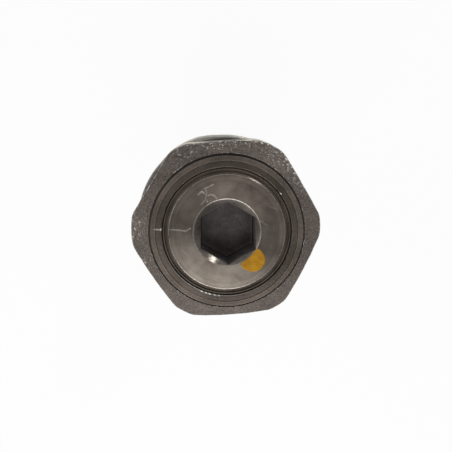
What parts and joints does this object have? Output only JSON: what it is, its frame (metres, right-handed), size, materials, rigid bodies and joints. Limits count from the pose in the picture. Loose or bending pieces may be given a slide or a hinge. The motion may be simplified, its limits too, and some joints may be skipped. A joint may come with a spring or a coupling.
{
  "type": "overflow valve",
  "caption": "Hexagon-headed screw-in cartridge overflow valve with a socket adjusting plug, seat nose, spring-loaded poppet and damping piston.",
  "frame": {"origin": "on the valve's axis, at the underside of the collar that seats on the manifold", "axes": "+Z along the axis, out of the manifold through the hexagon head; the key socket's flats face +X and -X"},
  "size_m": [0.0498, 0.0488, 0.092],
  "materials": {
    "body_steel": "forged hexagon with grainy skin, turned boss, collar, thread and skirt",
    "plug_steel": "fine turned steel with faint rings and handling scratches",
    "seat_steel": "hardened and ground steel",
    "inner_steel": "turned and hardened steel",
    "spring_steel": "shot-peened spring wire with ground ends",
    "snap_wire": "blackened spring wire",
    "seal_rubber": "black nitrile, slightly oily",
    "backup_plastic": "off-white filled plastic, cut aslant"
  },
  "bodies": {
    "cartridge": {"valve_body": "body_steel", "collar_o_ring": "seal_rubber", "relief_spring": "spring_steel", "seat_sleeve": "seat_steel", "seat_snap_ring": "snap_wire", "nose_o_ring": "seal_rubber", "nose_backup_ring_upper": "backup_plastic", "nose_backup_ring_lower": "backup_plastic"},
    "plug_seals": {"plug_o_ring": "seal_rubber", "plug_backup_ring": "backup_plastic"},
    "plug": {"adjusting_plug": "plug_steel", "piston_liner": "inner_steel", "liner_o_ring": "seal_rubber"},
    "damper": {"damping_piston": "inner_steel", "piston_seal_ring": "backup_plastic", "spring_seat_upper": "inner_steel", "shim_thick": "inner_steel", "shim_thin": "inner_steel"},
    "poppet_group": {"poppet": "seat_steel", "orifice_screw": "inner_steel", "spring_seat_lower": "inner_steel"}
  },
  "joints": [
    {"name": "plug_advance", "type": "slide", "parent": "cartridge", "child": "plug_seals", "axis": [0, 0, 1], "range_m": [0, 0.006], "deforming": ["relief_spring"]},
    {"name": "plug_turn", "type": "hinge", "parent": "plug_seals", "child": "plug", "pos_m": [0, 0, 0], "axis": [0, 0, 1], "range_deg": [0, 1080]},
    {"name": "damping_piston_stroke", "type": "slide", "parent": "plug_seals", "child": "damper", "axis": [0, 0, -1], "range_m": [0, 0.0025], "stiffness_N_per_m": 1500, "springref_m": -0.004, "deforming": ["relief_spring"]},
    {"name": "poppet_lift", "type": "slide", "parent": "cartridge", "child": "poppet_group", "axis": [0, 0, 1], "range_m": [0, 0.003], "stiffness_N_per_m": 1500, "springref_m": -0.004, "deforming": ["relief_spring"]}
  ],
  "couplings": [
    {"joint": "plug_turn", "follows": "plug_advance", "rad_per_m": 3141.6}
  ]
}
